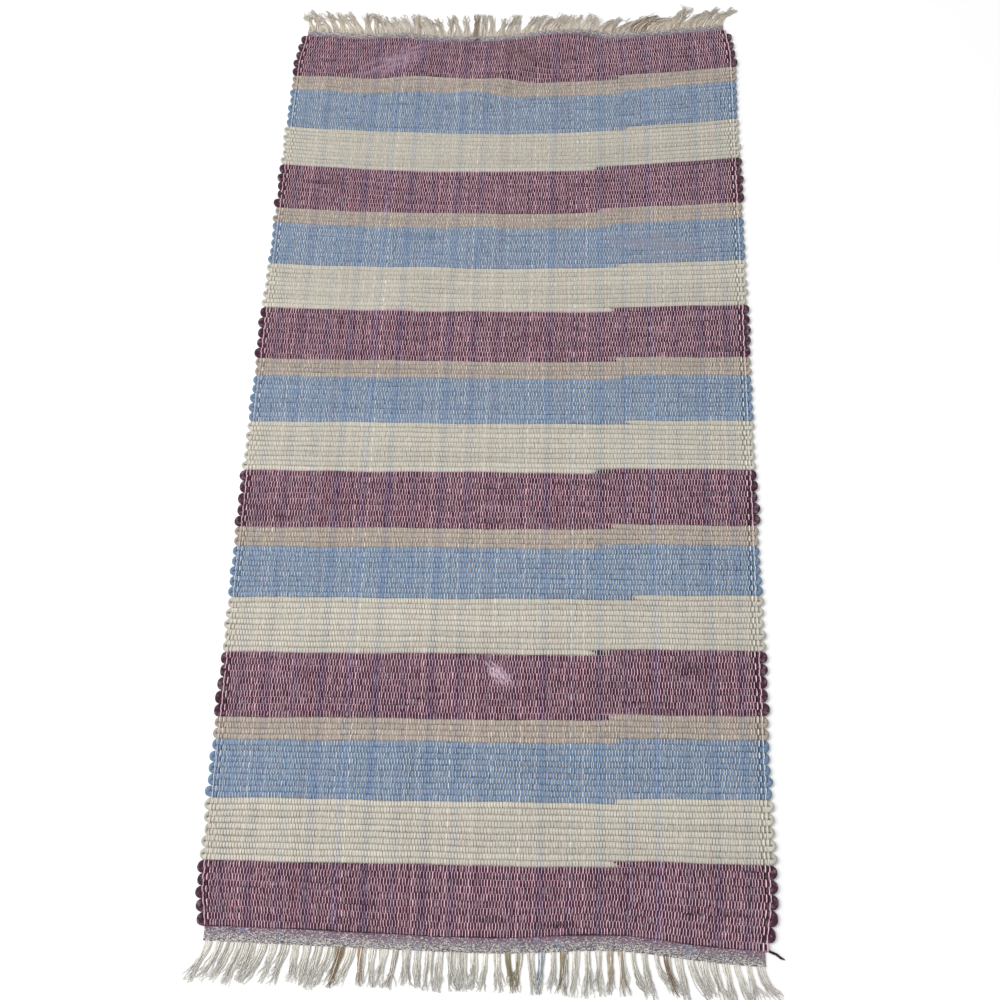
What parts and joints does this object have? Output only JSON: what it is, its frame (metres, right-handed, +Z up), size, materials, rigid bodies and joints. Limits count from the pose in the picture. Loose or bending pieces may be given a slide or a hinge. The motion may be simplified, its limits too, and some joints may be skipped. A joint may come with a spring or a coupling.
{
  "type": "striped rag rug",
  "caption": "Flat plain-woven rag rug in burgundy, tan, blue and cream stripes, with looped selvedges, fine woven headings and a cut warp fringe at both ends.",
  "frame": {"origin": "centre of the rug on the surface it lies on", "axes": "+X across the rug along its picks, +Y along its length towards the far end, +Z up out of its face"},
  "size_m": [0.7489, 1.5013, 0.0145],
  "materials": {
    "rag_weave": "matt cotton rag weave in burgundy, tan, blue and cream stripes under a thin pale warp",
    "heading_weave": "matt fine plain weave of pale warp and mauve thread",
    "fringe_yarn": "soft unbleached cotton yarn with a few tan and pale blue ends",
    "burgundy_rag": "matt cotton rag"
  },
  "bodies": {
    "root": {"rug_body": "rag_weave", "heading_near": "heading_weave", "heading_far": "heading_weave", "fringe_near": "fringe_yarn", "fringe_far": "fringe_yarn", "weft_tail": "burgundy_rag"}
  },
  "joints": []
}
